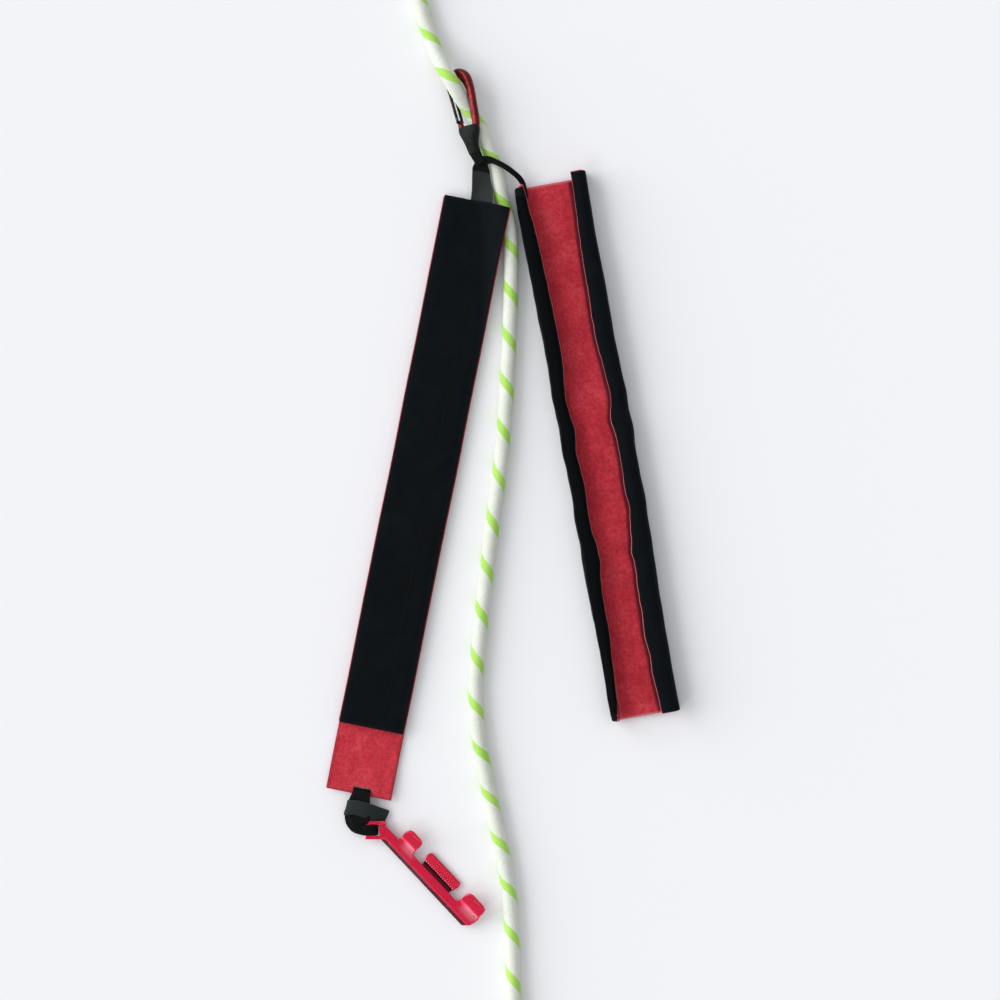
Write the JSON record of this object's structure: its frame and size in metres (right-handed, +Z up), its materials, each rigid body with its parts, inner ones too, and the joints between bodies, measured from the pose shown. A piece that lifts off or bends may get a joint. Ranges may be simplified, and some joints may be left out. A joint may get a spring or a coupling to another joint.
{
  "type": "rope protector sleeves",
  "caption": "Pair of fabric rope protector sleeves on a webbing lanyard with a small carabiner on a rope and a metal rope clip.",
  "frame": {"origin": "on the floor under the middle of the gear laid out flat, its rope left out", "axes": "+Z up from the floor, +Y along the layout towards the carabiner, +X to the open sleeve"},
  "size_m": [0.2652, 0.7989, 0.0215],
  "materials": {
    "rope": "braided, white with lime tracer",
    "rope_cap": "clear heat shrink",
    "red_anodised": "glossy red anodised",
    "clip_anodised": "satin red anodised",
    "gate_wire": "dark wire",
    "keeper_rubber": "matt",
    "webbing": "woven tape",
    "stitching": "bar tack stitching",
    "shell_fabric": "dense woven shell",
    "felt_lining": "felted lining",
    "hook_tape": "hook tape",
    "loop_tape": "loop tape"
  },
  "bodies": {
    "rope_and_lanyard": {"rope": "rope", "rope_cap_upper": "rope_cap", "rope_cap_lower": "rope_cap", "carabiner_body": "red_anodised", "carabiner_keeper": "keeper_rubber", "lanyard_webbing": "webbing"},
    "carabiner_gate": {"carabiner_wire_gate": "gate_wire"},
    "left_sleeve": {"left_hanger_webbing": "webbing", "left_hanger_bar_tack": "stitching", "left_base_shell": "shell_fabric", "left_base_lining": "felt_lining", "left_hook_strip": "hook_tape"},
    "left_flap": {"left_flap_shell": "shell_fabric", "left_flap_lining": "felt_lining", "left_loop_strip": "loop_tape"},
    "tail_webbing": {"tail_webbing": "webbing", "tail_bar_tack": "stitching"},
    "rope_clip": {"rope_clip": "clip_anodised"},
    "right_sleeve": {"right_hanger_webbing": "webbing", "right_hanger_bar_tack": "stitching", "right_floor_shell": "shell_fabric", "right_floor_lining": "felt_lining"},
    "right_near_flap": {"right_near_flap_shell": "shell_fabric", "right_near_flap_lining": "felt_lining", "right_loop_strip": "loop_tape"},
    "right_far_flap": {"right_far_flap_shell": "shell_fabric", "right_far_flap_lining": "felt_lining", "right_hook_strip": "hook_tape"}
  },
  "joints": [
    {"name": "carabiner_gate", "type": "hinge", "parent": "rope_and_lanyard", "child": "carabiner_gate", "pos_m": [-0.03247, 0.28214, 0.0072], "axis": [0.5992, 0.0641, -0.798], "range_deg": [0, 5], "stiffness_Nm_per_rad": 0.03, "springref_deg": -20.05},
    {"name": "left_sleeve_swing", "type": "hinge", "parent": "rope_and_lanyard", "child": "left_sleeve", "pos_m": [-0.01579, 0.25144, 0], "axis": [0, 0, -1], "range_deg": [0, 35]},
    {"name": "left_flap_open", "type": "hinge", "parent": "left_sleeve", "child": "left_flap", "pos_m": [-0.04333, 0.22709, 0.00358], "axis": [-0.1968, -0.9804, 0], "range_deg": [0, 150]},
    {"name": "tail_webbing_fold", "type": "hinge", "parent": "left_sleeve", "child": "tail_webbing", "pos_m": [-0.10602, -0.22043, 0.00387], "axis": [-0.9804, 0.1968, 0], "range_deg": [0, 90]},
    {"name": "rope_clip_pivot", "type": "hinge", "parent": "tail_webbing", "child": "rope_clip", "pos_m": [-0.10109, -0.24806, 0.0056], "axis": [0, -1, 0], "range_deg": [0, 75]},
    {"name": "right_sleeve_swing", "type": "hinge", "parent": "rope_and_lanyard", "child": "right_sleeve", "pos_m": [-0.01579, 0.25144, 0], "axis": [0, 0, 1], "range_deg": [0, 35]},
    {"name": "right_near_flap", "type": "hinge", "parent": "right_sleeve", "child": "right_near_flap", "pos_m": [0.00944, 0.23503, 0.002], "axis": [0.1831, -0.9831, 0], "range_deg": [-12, 28]},
    {"name": "right_far_flap", "type": "hinge", "parent": "right_sleeve", "child": "right_far_flap", "pos_m": [0.06319, 0.24464, 0.002], "axis": [-0.169, 0.9856, 0], "range_deg": [-25, 70]}
  ]
}
